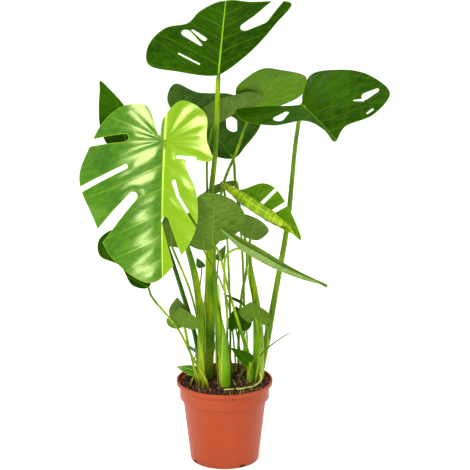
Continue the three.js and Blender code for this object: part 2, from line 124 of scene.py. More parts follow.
class Graph:
    def __init__(self, tree):
        self.tree = tree

    def add(self, kind, inputs=None, **settings):
        node = self.tree.nodes.new(kind)
        for key, value in settings.items():
            setattr(node, key, value)
        for key, value in (inputs or {}).items():
            self.feed(node.inputs[key], value)
        return node

    def feed(self, socket, value):
        if isinstance(value, bpy.types.NodeSocket):
            self.tree.links.new(value, socket)
        else:
            socket.default_value = value

    def math(self, operation, *values):
        return self.add("ShaderNodeMath", dict(enumerate(values)), operation=operation).outputs[0]

    def ramp(self, value, low, high, atLow=0.0, atHigh=1.0):  # a smooth step from one level to another
        node = self.add("ShaderNodeMapRange", interpolation_type="SMOOTHSTEP")
        for index, given in enumerate((value, low, high, atLow, atHigh)):
            self.feed(node.inputs[index], given)
        return node.outputs[0]

    def blend(self, share, first, second):
        node = self.add("ShaderNodeMix", data_type="RGBA")
        self.feed(node.inputs[0], share)
        self.feed(node.inputs[6], first)
        self.feed(node.inputs[7], second)
        return node.outputs[2]

    def cloud(self, place, scale, detail=3.0, rough=0.55):
        inputs = {"Vector": place, "Scale": scale, "Detail": detail, "Roughness": rough}
        return self.add("ShaderNodeTexNoise", inputs).outputs["Fac"]

    def scaled(self, vector, factor):
        node = self.add("ShaderNodeVectorMath", {0: vector}, operation="SCALE")
        self.feed(node.inputs["Scale"], factor)
        return node.outputs[0]

    def stretched(self, place, scale):
        return self.add("ShaderNodeMapping", {"Vector": place, "Scale": scale}).outputs[0]


def colour(red, green, blue):
    return (red, green, blue, 1)


def newFinish(name):
    finish = bpy.data.materials.new(name)
    finish.use_nodes = True
    graph = Graph(finish.node_tree)
    shader = finish.node_tree.nodes["Principled BSDF"]
    place = graph.add("ShaderNodeTexCoord").outputs["Object"]
    return finish, graph, shader, place


def setBump(graph, shader, height, strength, distance):
    inputs = {"Height": height, "Strength": strength, "Distance": distance}
    graph.feed(shader.inputs["Normal"], graph.add("ShaderNodeBump", inputs).outputs[0])


# Leaf skins. Every blade carries two attributes that the skins read:
# veins is (which side vein, millimetres from the midrib, share of the length), edge is millimetres
# from the margin.

skins = {
    "deepUpper": dict(dark=(0.013, 0.048, 0), light=(0.038, 0.110, 0), vein=(0.07, 0.19, 0),
                      margin=(0.10, 0.24, 0), rough=0.45, ribWidth=1.4, veinShare=0.4, gloss=0.1),
    "deepUnder": dict(dark=(0.013, 0.052, 0), light=(0.038, 0.112, 0), vein=(0.26, 0.46, 0.01),
                      margin=(0.12, 0.28, 0), rough=0.5, ribWidth=2.3, veinShare=0.28, gloss=0.1),
    "brightUpper": dict(dark=(0.022, 0.118, 0), light=(0.062, 0.205, 0), vein=(0.42, 0.58, 0.06),
                        margin=(0.26, 0.44, 0), rough=0.225, ribWidth=3.0, veinShare=0.28, gloss=1.0,
                        tint=(0.95, 1.0, 0.5), grain=0.14),
    "youngUpper": dict(dark=(0.045, 0.130, 0), light=(0.105, 0.220, 0), vein=(0.36, 0.55, 0.02),
                       margin=(0.20, 0.40, 0), rough=0.45, ribWidth=1.4, veinShare=0.3, gloss=0.2),
    "brightUnder": dict(dark=(0.065, 0.165, 0), light=(0.130, 0.280, 0), vein=(0.22, 0.38, 0),
                        margin=(0.05, 0.13, 0), rough=0.5, ribWidth=1.6, veinShare=0.3, gloss=0.1),
    "greyUpper": dict(dark=(0.016, 0.068, 0), light=(0.045, 0.140, 0), vein=(0.14, 0.27, 0.01),
                      margin=(0.12, 0.26, 0), rough=0.42, ribWidth=1.2, veinShare=0.355, gloss=0.2),
    "greyUnder": dict(dark=(0.062, 0.130, 0.008), light=(0.155, 0.245, 0.040), vein=(0.19, 0.31, 0.04),
                      margin=(0.07, 0.16, 0), rough=0.5, ribWidth=1.0, veinShare=0.2, gloss=0.15),
    "dullBlade": dict(dark=(0.125, 0.215, 0.045), light=(0.250, 0.350, 0.110), vein=(0.20, 0.30, 0.06),
                      margin=(0.10, 0.20, 0.02), rough=0.5, ribWidth=0.8, veinShare=0.12, gloss=0.15),
    "rollUpper": dict(dark=(0.110, 0.230, 0), light=(0.380, 0.500, 0.010), vein=(0.46, 0.66, 0.03),
                      margin=(0.42, 0.60, 0.02), rough=0.36, ribWidth=1.2, veinShare=0.5, gloss=0.4,
                      coat=0.2),
    "sheath": dict(dark=(0.100, 0.260, 0.004), light=(0.220, 0.420, 0.012), vein=(0.34, 0.52, 0.04),
                   margin=(0.52, 0.66, 0.16), rough=0.36, ribWidth=1.2, veinShare=0.3, coat=0.1, gloss=0.35),
}


def makeLeafSkin(name, look, yellowLeft=0.0):
    finish, graph, shader, place = newFinish(name)
    veins = graph.add("ShaderNodeAttribute", attribute_name="veins").outputs["Vector"]
    split = graph.add("ShaderNodeSeparateXYZ", {0: veins})
    number, side, along = split.outputs
    away = graph.math("ABSOLUTE", side)
    edge = graph.add("ShaderNodeAttribute", attribute_name="edge").outputs["Fac"]

    # side veins: thin pale lines at whole numbers, fading towards the margin
    within = graph.math("FRACT", graph.math("ADD", number, 0.5))
    offVein = graph.math("ABSOLUTE", graph.math("SUBTRACT", within, 0.5))
    sideVein = graph.ramp(offVein, 0.012, 0.05, 1.0, 0.0)
    halo = graph.ramp(offVein, 0.0, 0.3, 1.0, 0.0)
    fade = graph.ramp(edge, 2.0, 40.0, 0.25, 1.0)
    sideVein = graph.math("MULTIPLY", sideVein, fade)
    fan = graph.add("ShaderNodeCombineXYZ", {0: number, 1: graph.math("MULTIPLY", side, 0.012)}).outputs[0]
    streaks = graph.ramp(graph.cloud(fan, 6.0, 4.0, 0.65), 0.3, 0.7)
    thin = graph.math("MULTIPLY", graph.math("SUBTRACT", 1.25, along), look["ribWidth"])
    midrib = graph.ramp(graph.math("DIVIDE", away, thin), 0.3, 0.85, 1.0, 0.0)

    patches = graph.cloud(place, 13.0, 2.0)
    speckle = graph.cloud(place, 420.0, 2.0)
    level = graph.math("ADD", graph.math("MULTIPLY", patches, 0.9), graph.math("MULTIPLY", streaks, 0.5))
    base = graph.blend(graph.ramp(level, 0.35, 1.05), colour(*look["dark"]), colour(*look["light"]))
    base = graph.blend(graph.math("MULTIPLY", halo, 0.3 * look["veinShare"]), base, colour(*look["light"]))
    if yellowLeft:
        lean = graph.math("MULTIPLY", graph.ramp(side, -4.0, 4.0), yellowLeft)
        base = graph.blend(lean, base, colour(0.24, 0.42, 0.000))
    base = graph.blend(graph.math("MULTIPLY", speckle, 0.16), base, colour(*look["dark"]))
    base = graph.blend(graph.math("MULTIPLY", sideVein, look["veinShare"]), base, colour(*look["vein"]))
    base = graph.blend(midrib, base, colour(*look["vein"]))
    base = graph.blend(graph.ramp(edge, 0.3, 1.5, 0.7, 0.0), base, colour(*look["margin"]))
    graph.feed(shader.inputs["Base Color"], base)
    rough = graph.math("ADD", graph.math("MULTIPLY", patches, 0.16), look["rough"] - 0.08)
    graph.feed(shader.inputs["Roughness"], rough)
    shader.inputs["Specular IOR Level"].default_value = look["gloss"]
    shader.inputs["Specular Tint"].default_value = colour(*look.get("tint", (0.75, 1.0, 0.35)))
    shader.inputs["Coat Weight"].default_value = look.get("coat", 0.0)
    shader.inputs["Coat Roughness"].default_value = 0.14
    height = graph.math("ADD", graph.math("MULTIPLY", sideVein, 0.7), graph.math("MULTIPLY", streaks, 0.6))
    height = graph.math("ADD", height, graph.math("MULTIPLY", speckle, 0.2))
    setBump(graph, shader, height, look.get("grain", 0.45), 0.0006)
    return finish


leafSkins = {name: makeLeafSkin(name, look) for name, look in skins.items()}
leafSkins["bigUpper"] = makeLeafSkin("bigUpper", skins["brightUpper"], yellowLeft=0.75)
print("leaf skins ready")


# Stalk, root, compost and pot finishes

stalkLooks = {
    "lightStalk": dict(dark=(0.065, 0.180, 0), light=(0.320, 0.460, 0.003), foot=(0.46, 0.54, 0.04)),
    "midStalk": dict(dark=(0.048, 0.125, 0), light=(0.170, 0.300, 0), foot=(0.36, 0.46, 0.03)),
    # painted shade: a darker copy of the stalk green, for stalks that stand in the shade of the leaves
    "deepStalk": dict(dark=(0.018, 0.085, 0), light=(0.075, 0.200, 0.002), foot=(0.16, 0.24, 0.02)),
}


def makeStalkSkin(name, look):
    finish, graph, shader, place = newFinish(name)
    streaks = graph.cloud(graph.stretched(place, (1, 1, 0.05)), 520.0, 3.0)
    patches = graph.cloud(graph.stretched(place, (1, 1, 0.3)), 40.0)
    level = graph.add("ShaderNodeSeparateXYZ", {0: place}).outputs[2]
    base = graph.blend(graph.ramp(patches, 0.3, 0.7), colour(*look["dark"]), colour(*look["light"]))
    base = graph.blend(graph.ramp(streaks, 0.42, 0.62, 0.0, 0.6), base, colour(*look["dark"]))
    base = graph.blend(graph.ramp(level, 0.15, 0.225, 0.65, 0.0), base, colour(*look["foot"]))
    ragged = graph.math("ADD", level, graph.math("MULTIPLY", patches, 0.03))
    soiled = graph.ramp(ragged, 0.158, 0.178, 0.85, 0.0)  # soil splashed on the lowest part
    base = graph.blend(soiled, base, colour(0.14, 0.085, 0.02))
    graph.feed(shader.inputs["Base Color"], base)
    shader.inputs["Roughness"].default_value = 0.36
    shader.inputs["Specular IOR Level"].default_value = 0.4
    shader.inputs["Specular Tint"].default_value = colour(0.85, 1.0, 0.45)
    setBump(graph, shader, streaks, 0.5, 0.0006)
    return finish


def makeRootSkin():
    finish, graph, shader, place = newFinish("rootSkin")
    patches = graph.cloud(place, 160.0)
    base = graph.blend(graph.ramp(patches, 0.35, 0.65), colour(0.24, 0.33, 0.05), colour(0.62, 0.55, 0.16))
    graph.feed(shader.inputs["Base Color"], base)
    shader.inputs["Roughness"].default_value = 0.6
    setBump(graph, shader, graph.cloud(place, 900.0), 0.5, 0.0004)
    return finish


def makeEarth(name, dark, light, rough=0.95):
    finish, graph, shader, place = newFinish(name)
    lumps = graph.cloud(place, 260.0, 5.0, 0.7)
    base = graph.blend(graph.ramp(lumps, 0.35, 0.68), colour(*dark), colour(*light))
    graph.feed(shader.inputs["Base Color"], base)
    shader.inputs["Roughness"].default_value = rough
    setBump(graph, shader, graph.cloud(place, 900.0, 4.0), 0.8, 0.0012)
    return finish


def makePotPlastic():
    finish, graph, shader, place = newFinish("terracottaPlastic")
    haze = graph.cloud(place, 14.0)
    grain = graph.cloud(place, 1400.0, 2.0)
    base = graph.blend(graph.ramp(haze, 0.3, 0.7), colour(0.325, 0.050, 0.013), colour(0.355, 0.060, 0.017))
    base = graph.blend(graph.math("MULTIPLY", grain, 0.12), base, colour(0.45, 0.095, 0.035))
    # darker towards the foot of the pot
    level = graph.add("ShaderNodeSeparateXYZ", {0: place}).outputs[2]
    base = graph.blend(graph.ramp(level, 0.0, 0.012, 0.25, 0.0), base, colour(0.25, 0.05, 0.02))
    graph.feed(shader.inputs["Base Color"], base)
    graph.feed(shader.inputs["Roughness"], graph.math("ADD", graph.math("MULTIPLY", haze, 0.14), 0.36))
    shader.inputs["Specular Tint"].default_value = colour(1.0, 0.75, 0.6)
    setBump(graph, shader, grain, 0.12, 0.0003)
    return finish


stalkSkins = {name: makeStalkSkin(name, look) for name, look in stalkLooks.items()}
rootSkin = makeRootSkin()
darkPeat = makeEarth("darkPeat", (0.014, 0.006, 0.003), (0.085, 0.036, 0.016))
peatCrumbSkin = makeEarth("peatCrumbs", (0.022, 0.009, 0.004), (0.270, 0.115, 0.050))
strawSkin = makeEarth("strawBits", (0.30, 0.20, 0.07), (0.62, 0.48, 0.22), 0.8)
potPlastic = makePotPlastic()
print("other finishes ready")


# Smooth curves through a few points, millimetres

def knotGap(a, b):
    return max(math.sqrt((b - a).length), 1e-4)


def curveSpan(p0, p1, p2, p3, count):
    g0, g1, g2 = knotGap(p0, p1), knotGap(p1, p2), knotGap(p2, p3)
    leave = ((p1 - p0) / g0 - (p2 - p0) / (g0 + g1) + (p2 - p1) / g1) * g1
    reach = ((p2 - p1) / g1 - (p3 - p1) / (g1 + g2) + (p3 - p2) / g2) * g1
    for step in range(count):
        t = step / count
        yield (p1 * (2 * t**3 - 3 * t**2 + 1) + leave * (t**3 - 2 * t**2 + t)
               + p2 * (3 * t**2 - 2 * t**3) + reach * (t**3 - t**2))


def smoothLoop(points, spacing):
    places = [Vector(p) for p in points]
    count = len(places)
    loop = []
    for i in range(count):
        span = [places[(i + k) % count] for k in (-1, 0, 1, 2)]
        steps = max(3, round((span[2] - span[1]).length / spacing))
        loop += curveSpan(*span, steps)
    return [tuple(p) for p in loop]


def smoothPath(points, spacing):
    places = [Vector(p) for p in points]
    places = [2 * places[0] - places[1], *places, 2 * places[-1] - places[-2]]
    path = []
    for i in range(len(places) - 3):
        span = places[i:i + 4]
        path += curveSpan(*span, max(2, round((span[2] - span[1]).length / spacing)))
    return path + [places[-2]]


def lengthsAlong(points):
    return np.array([0.0, *np.cumsum([math.dist(a[:3], b[:3]) for a, b in zip(points, points[1:])])])


def widthAt(route, share):  # a route's thickness at a share of its length
    knots = lengthsAlong(route)
    return np.interp(share * knots[-1], knots, [p[3] for p in route])


# Leaf shapes, millimetres and degrees. u runs along the midrib, v to the left of it.
# at is where the stalk meets the blade, turn is heading, pitch and roll.

def heart(length, left, right, back, sweep=0):
    def half(width):
        return [
            (0.85 * length, 0.28 * width + 0.7 * sweep),
            (0.55 * length, 0.74 * width + 0.3 * sweep),
            (0.25 * length, width),
            (0, 0.85 * width),
            (-back, 0.45 * width),
        ]
    return [(length, sweep), *half(left), (0, 0), *half(-right)[::-1]]


leaves = {
    "top": dict(
        skin="deep", at=(-10, -10, 695), turn=(-82, 60, -5), length=240, half=130,
        droop=10, foldLeft=12, foldRight=12, veinGap=30, quilt=1.6, ripple=3.0,
        outline=[(5, -5), (0, -70), (5, -120), (40, -125), (95, -95), (115, -60), (150, -40),
                 (185, 0), (175, 40), (155, 115), (110, 90), (45, 45)],
        slots=[(90, -60, 18, 70, -35, 6), (100, -50, 5, 85, -30, 10), (40, -70, 4, 25, -35, 4),
               (115, 40, 20, 130, 65, 30), (130, 65, 30, 165, 90, 20)],
        stalkRadius=4,
        stalk=[(-15, -5, 570), (-25, 5, 460, 5), (-25, 15, 310, 10), (-30, 15, 215, 12),
               (-30, 20, 150, 9)],
    ),
    "big_left": dict(
        skin="bright", upper="bigUpper", at=(-100, -70, 600), turn=(-96, -62, 8),
        length=290, half=120, droop=22, foldLeft=10, foldRight=15, curlLeft=-20, curlRight=-30,
        veinGap=40, quilt=1.2, ripple=5.0,
        outline=[(-10, -10), (-60, -35), (-60, -75), (-20, -125), (50, -150), (130, -125),
                 (195, -90), (240, -20), (205, 25), (150, 60), (90, 60), (35, 40), (35, 85),
                 (0, 75), (-45, 70), (-70, 25), (-40, -5)],
        slots=[(-5, -70, 14, 0, -140, 12), (45, -65, 8, 85, -150, 10), (95, -50, 15, 170, -120, 24),
               (28, 25, 5, 32, 55, 7), (70, 20, 7, 95, 28, 5), (95, 28, 5, 150, 65, 4),
               (135, 5, 13, 210, 30, 20)],
        stalkRadius=3,
        stalk=[(-100, -60, 565), (-80, -35, 460, 3.5), (-50, -20, 340, 6), (-40, -15, 225, 6.5),
               (-40, -15, 150)],
    ),
    "upper_left": dict(
        skin="deep", at=(-170, 20, 575), turn=(112, 58, 0), length=120, half=40,
        droop=12, veinGap=16, outline=heart(120, 40, 25, 0, 20), stalkSkin="deepStalk",
        stalkRadius=2.5, stalk=[(-110, 15, 420, 3), (-75, 10, 310, 4), (-50, 10, 215), (-45, 10, 150)],
    ),
    "lower_left": dict(
        skin="deep", at=(-130, -85, 345), turn=(172, 28, -55), length=100, half=60,
        droop=10, veinGap=18,
        outline=[(0, 0), (10, -35), (55, -70), (100, -65), (115, -35), (100, -10), (60, -10), (25, 10)],
        stalkRadius=2,
        stalk=[(-125, -85, 330), (-80, -70, 265), (-55, -50, 205), (-30, -35, 150, 2.5)],
    ),
    "holed": dict(
        skin="deep", at=(15, 60, 535), turn=(132, 38, 0), length=190, half=85,
        droop=20, veinGap=26, quilt=1.2, ripple=2.0,
        outline=[(0, 0), (20, 40), (70, 50), (130, 40), (175, 20), (215, -35), (175, -50),
                 (145, -110), (100, -140), (55, -105), (20, -45)],
        slots=[(85, -60, 21, 65, -45, 20)],
        stalkRadius=2.5, stalk=[(20, 60, 480), (40, 60, 350), (30, 60, 280), (25, 60, 200)],
    ),
    "side": dict(
        skin="grey", at=(-20, 40, 600), turn=(15, 32, -55), length=110, half=40,
        veinGap=18,
        outline=[(-5, 0), (-10, -35), (-10, -60), (50, -45), (85, -25), (100, 15), (55, 8)],
        stalkRadius=2, stalk=[(-25, 40, 575), (-30, 40, 540), (-30, 45, 465), (-30, 50, 150)],
    ),
    "pale": dict(
        skin="bright", at=(45, 95, 605), turn=(-25, 58, -20), length=150, half=70,
        droop=15, veinGap=20, quilt=0.6,
        outline=[(0, 0), (20, -40), (75, -90), (110, -60), (110, -10), (90, 80), (60, 100), (30, 80),
                 (5, 30)],
        stalkRadius=2.5,
        stalk=[(20, 40, 550), (0, 0, 510), (-15, -25, 430), (-15, -30, 305, 3), (-5, -25, 230, 8.5),
               (0, -20, 165, 10)],
    ),
    "right": dict(
        skin="deep", at=(135, 15, 640), turn=(-62, -12, 6), length=230, half=150,
        stalkSkin="midStalk",
        droop=20, foldLeft=30, foldRight=-4, veinGap=30, quilt=1.6, ripple=3.0,
        outline=[(-8, 0), (-40, -60), (-55, -100), (-20, -110), (30, -75), (45, -20), (85, -5),
                 (120, -5), (105, 25), (120, 75), (105, 120), (50, 120), (-15, 90), (-55, 55),
                 (-25, 15)],
        slots=[(5, -35, 9, 15, -55, 19), (80, 108, 9, 76, 88, 16), (68, 68, 3, 80, 80, 6),
               (110, 80, 5, 110, 70, 4)],
        stalkRadius=3.5,
        stalk=[(125, 25, 585), (110, 35, 420, 4.5), (95, 40, 325, 5), (75, 35, 205, 6),
               (65, 25, 150, 5)],
    ),
    "middle": dict(
        skin="grey", at=(-20, -60, 420), turn=(-84, 72, 0), length=105, half=45,
        veinGap=14, outline=[(0, 0), (20, -25), (75, -35), (105, -20), (90, 30), (45, 55), (10, 35)],
        stalkRadius=2, stalk=[(-10, -55, 400), (10, -35, 315), (35, -15, 220, 3), (45, -5, 170, 6.5)],
    ),
    "low": dict(
        skin="grey", at=(-35, -30, 395), turn=(-95, 70, 0), length=100, half=48,
        veinGap=14, outline=[(0, 0), (15, -30), (50, -40), (85, -20), (80, 15), (45, 35), (10, 20)],
        stalkRadius=1.5, stalk=[(-5, -15, 330), (10, 10, 265), (20, 30, 155)],
    ),
    "low_left": dict(
        skin="grey", at=(-90, -40, 405), turn=(-100, 70, 0), length=85, half=36,
        veinGap=12, outline=heart(85, 22, 20, 2),
        stalkRadius=2, stalk=[(-60, -35, 325), (-45, -35, 260), (-35, -30, 150)],
    ),
    "inner": dict(
        skin="grey", at=(45, 20, 400), turn=(-60, 66, 0), length=90, half=40,
        veinGap=13, outline=[(0, 0), (25, -30), (65, -40), (45, 5), (10, 35), (-5, 20)],
        stalkRadius=2.5,
        stalk=[(45, 20, 360, 3), (55, 20, 290, 6), (60, 15, 230, 8.5), (60, 5, 165, 9.5)],
    ),
    "edge_on": dict(
        skin="grey", at=(20, 40, 500), turn=(200, 5, 62), length=100, half=22,
        veinGap=14, outline=[(0, 0), (35, -8), (65, -40), (20, -25), (0, -10)],
        stalkRadius=2, stalk=[(30, 45, 390), (35, 50, 250), (35, 50, 150)],
    ),
    "strap": dict(
        skin="grey", upper="greyUnder", under="dullBlade", at=(25, -85, 415), turn=(-14, -32, 0),
        length=165, half=20, droop=-25, foldLeft=76, foldRight=66, veinGap=16, ripple=2.0, hook=6,
        outline=[(165, 0), (110, 12), (20, 20), (-40, 10), (0, 0), (-48, -10), (-10, -15),
                 (60, -15), (120, -10)],
        stalkRadius=2,
        stalk=[(5, -85, 405), (0, -75, 365), (5, -30, 270), (5, 0, 200), (10, 10, 150)],
    ),
    "unfurling": dict(
        skin="bright", at=(-5, -20, 515), turn=(-30, -22, 50), length=170,
        half=40, veinGap=16, upper="youngUpper",
        outline=[(0, 0), (60, -5), (125, -5), (175, -12), (140, 15), (85, 40), (62, 36), (35, 5)],
        slots=[(82, 4, 6, 90, 46, 6), (107, 4, 7, 121, 34, 9)],
        roll=[(5, -3, 3, 5), (60, -8, 8, 13), (110, -9, 9, 12), (172, -11, 2, 2)],
        stalkRadius=2, stalk=[(0, -25, 500), (5, -10, 410), (10, 30, 250), (10, 40, 150)],
    ),
    "small_front": dict(
        skin="grey", at=(-70, -60, 265), turn=(-100, 65, 0), length=50, half=30,
        outline=heart(50, 30, 30, 5), stalkRadius=1.5, stalk=[(-60, -50, 215), (-45, -30, 150)],
    ),
    "small_back": dict(
        skin="grey", at=(-70, -45, 270), turn=(-120, 70, 0), length=55, half=25,
        outline=heart(55, 20, 28, 5), stalkRadius=1.4, stalk=[(-60, -35, 210), (-50, -20, 150)],
    ),
    "small_right": dict(
        skin="grey", at=(55, -30, 270), turn=(-110, 62, 0), length=45, half=30,
        outline=heart(45, 30, 30, 13), stalkRadius=1.8,
        stalk=[(60, -20, 230), (60, -20, 190), (55, -15, 150)],
    ),
    "small_dark": dict(
        skin="deep", at=(20, -10, 245), turn=(90, 55, 0), length=42, half=28,
        outline=heart(42, 15, 28, 5), stalkSkin="deepStalk",
        stalkRadius=1.5, stalk=[(25, 0, 215), (30, 10, 165)],
    ),
    "small_green": dict(
        skin="deep", at=(45, -35, 190), turn=(150, 30, -40), length=45, half=13,
        outline=heart(45, 10, 14, 1), stalkRadius=1.4, stalk=[(42, -25, 165), (40, -15, 148)],
    ),
    "small_grey": dict(
        skin="grey", at=(5, 10, 215), turn=(165, 30, 30), length=25, half=10,
        outline=heart(25, 10, 10, 3), stalkRadius=1.3, stalk=[(10, 15, 185), (15, 20, 150)],
    ),
    "small_sliver": dict(
        skin="deep", at=(30, 0, 290), turn=(165, 25, -5), length=38, half=6,
        outline=heart(38, 6, 5, 2), stalkSkin="deepStalk",
        stalkRadius=1.3, stalk=[(35, 10, 275), (40, 25, 215), (40, 35, 155)],
    ),
    "small_left": dict(
        skin="grey", at=(-50, 25, 190), turn=(160, 30, 45), length=24, half=10,
        outline=heart(24, 10, 10, 2), stalkRadius=1.2, stalk=[(-55, 25, 170), (-55, 30, 150)],
    ),
    "rim": dict(
        skin="bright", at=(-50, -5, 165), turn=(172, 12, -28), length=36, half=14,
        outline=heart(36, 14, 10, 2), stalkRadius=1.5, stalk=[(-55, -10, 155), (-60, -20, 142)],
    ),
    "bud_high": dict(
        skin="bright", slot="deep_leaf", at=(-10, 25, 360), turn=(50, 55, 0), length=30, half=10,
        outline=heart(30, 10, 9, 1), stalkRadius=1.3, stalk=[(-15, 35, 285), (-15, 35, 150)],
    ),
    "bud_low": dict(
        skin="bright", slot="deep_leaf", at=(-40, 30, 345), turn=(130, 50, 0), length=20, half=9,
        outline=heart(20, 9, 9, 1), stalkRadius=1.2, stalk=[(-45, 35, 285), (-40, 35, 150)],
    ),
}
stalkFoot = 126  # the stalks end this high, deep in the compost


# Blades

blade = dict(thickness=0.6, ribDepth=1.3, ribReach=2.2, ribRows=(0, -0.5, 0.5, -1, 1), finest=1.2,
             coarsest=2.6, marginStep=1.2, rowStep=0.866, clearance=0.55)
sideVeins = dict(gap=9, lean=0.55, bow=0.036, fan=26)
relief = dict(ribFlat=14, marginFlat=12, quilt=0.035, ripple=0.03, waves=11, hookFrom=0.86)


def slotLoop(slot):
    u0, v0, width0, u1, v1, width1 = slot
    heading, quarter, steps = math.atan2(v1 - v0, u1 - u0), math.pi / 2, 8
    loop = []
    for u, v, width, start in ((u1, v1, width1, heading - quarter), (u0, v0, width0, heading + quarter)):
        for i in range(steps + 1):
            angle = start + math.pi * i / steps
            loop.append((u + width / 2 * math.cos(angle), v + width / 2 * math.sin(angle)))
    return loop


def isInside(points, loop):
    inside = np.zeros(len(points), bool)
    u, v = points[:, 0], points[:, 1]
    for (u0, v0), (u1, v1) in zip(loop, loop[1:] + loop[:1]):
        crosses = (v0 > v) != (v1 > v)
        if v0 != v1:
            inside ^= crosses & (u < (u1 - u0) * (v - v0) / (v1 - v0) + u0)
    return inside


def distanceTo(points, marks):
    nearest = np.full(len(points), 1e9)
    for start in range(0, len(marks), 64):
        gaps = points[:, None, :] - marks[None, start:start + 64, :]
        nearest = np.minimum(nearest, np.sqrt((gaps**2).sum(2)).min(1))
    return nearest


def densify(loop, spacing):
    marks = []
    for a, b in zip(loop, loop[1:] + loop[:1]):
        count = max(1, math.ceil(math.dist(a, b) / spacing))
        marks += [(a[0] + (b[0] - a[0]) * k / count, a[1] + (b[1] - a[1]) * k / count) for k in range(count)]
    return marks


def fillBlade(spacing, marks, outline, holes):  # points all over the blade, and closer rows at the midrib
    lows, highs = marks.min(0), marks.max(0)
    rows = math.ceil((highs[1] - lows[1]) / (spacing * blade["rowStep"])) + 1
    columns = math.ceil((highs[0] - lows[0]) / spacing) + 1
    filling = np.array([
        (lows[0] + spacing * (column + 0.5 * (row % 2)), lows[1] + blade["rowStep"] * spacing * row)
        for row in range(rows) for column in range(columns)
    ])
    filling = filling[np.abs(filling[:, 1]) > blade["ribReach"] + 0.5 * spacing]
    steps = np.arange(lows[0], highs[0], spacing)
    ribPoints = [(u, row * blade["ribReach"]) for row in blade["ribRows"] for u in steps]
    filling = np.vstack([filling, np.array(ribPoints)])
    filling = filling[isInside(filling, outline)]
    for hole in holes:
        filling = filling[~isInside(filling, hole)]
    return filling[distanceTo(filling, marks) > blade["clearance"] * spacing]


def facingUp(flat, faces):
    a, b, c = flat[faces[:, 0]], flat[faces[:, 1]], flat[faces[:, 2]]
    turned = (b[:, 0] - a[:, 0]) * (c[:, 1] - a[:, 1]) - (b[:, 1] - a[:, 1]) * (c[:, 0] - a[:, 0]) < 0
    faces[turned] = faces[turned][:, ::-1]
    return faces


def dropUnused(flat, faces):
    used = np.unique(faces)
    number = np.full(len(flat), -1)
    number[used] = np.arange(len(used))
    return flat[used], number[faces]


def flatBlade(leaf):
    spacing = min(max(leaf["half"] / 30, blade["finest"]), blade["coarsest"])
    outline = densify(smoothLoop(leaf["outline"], spacing), spacing * blade["marginStep"])
    holes = [densify(slotLoop(slot), spacing) for slot in leaf.get("slots", ())]
    points, edges = [], []
    for loop in [outline, *holes]:
        first = len(points)
        points += loop
        edges += [(first + i, first + (i + 1) % len(loop)) for i in range(len(loop))]
    marks = np.array(points)
    filling = fillBlade(spacing, marks, outline, holes)
    first = len(points)
    points += [tuple(p) for p in filling]
    middles = sorted((p[0], first + i) for i, p in enumerate(filling) if abs(p[1]) < 1e-6)
    edges += [(a[1], b[1]) for a, b in zip(middles, middles[1:]) if b[0] - a[0] < 1.5 * spacing]
    corners, _, triangles = delaunay_2d_cdt([Vector(p) for p in points], edges, [], 0, 1e-5)[:3]
    flat = np.array([tuple(p) for p in corners])
    faces = np.array([f for f in triangles if len(f) == 3])
    centres = flat[faces].mean(1)
    keep = isInside(centres, outline)
    for hole in holes:
        keep &= ~isInside(centres, hole)
    flat, faces = dropUnused(flat, facingUp(flat, faces[keep]))
    return flat, largestPatch(faces, len(flat)), marks


def largestPatch(faces, count):
    group = np.arange(count)
    changed = True
    while changed:
        least = group[faces].min(1)
        before = group.copy()
        np.minimum.at(group, faces.ravel(), np.repeat(least, 3))
        group = group[group]
        changed = bool((group != before).any())
    names, sizes = np.unique(group[faces[:, 0]], return_counts=True)
    return faces[group[faces[:, 0]] == names[sizes.argmax()]]


def arcPoint(length, start, turnRate):
    if np.max(np.abs(turnRate)) < 1e-9:
        return length * np.cos(start), length * np.sin(start)
    rate = np.where(np.abs(turnRate) < 1e-9, 1e-9, turnRate)
    end = start + rate * length
    return (np.sin(end) - np.sin(start)) / rate, (np.cos(start) - np.cos(end)) / rate


def bendBlade(leaf, flat, height):
    u, v = flat[:, 0], flat[:, 1]
    right = v < 0
    fold = np.radians(np.where(right, leaf.get("foldRight", 0), leaf.get("foldLeft", 0)))
    curl = np.radians(np.where(right, leaf.get("curlRight", 0), leaf.get("curlLeft", 0))) / leaf["half"]
    across, lift = arcPoint(np.abs(v), fold, curl)
    slope = fold + curl * np.abs(v)
    y = (across - np.sin(slope) * height) * np.where(right, -1, 1)
    w = lift + np.cos(slope) * height
    droop = -math.radians(leaf.get("droop", 8)) / leaf["length"]
    x, z = arcPoint(u, 0.0, droop)
    tilt = droop * u
    return np.stack([x - np.sin(tilt) * w, y, z + np.cos(tilt) * w], 1)


def leafPlace(leaf):
    heading, pitch, roll = radians(*leaf["turn"])
    turn = Matrix.Rotation(heading, 4, "Z") @ Matrix.Rotation(-pitch, 4, "Y") @ Matrix.Rotation(roll, 4, "X")
    return Matrix.Translation(Vector(leaf["at"])) @ turn


def veinNumber(leaf, flat):
    gap, lean = leaf.get("veinGap", sideVeins["gap"]), sideVeins["lean"]
    u, away = flat[:, 0], np.abs(flat[:, 1])
    ahead = (u - lean * away + sideVeins["bow"] * away**2 / gap) / gap
    behind = -np.arctan2(lean * away - u, away + lean * u + 1e-6) / math.radians(sideVeins["fan"])
    return np.where(u > lean * away, ahead, np.where(away < 1e-6, ahead, np.clip(behind, -4, 0)))


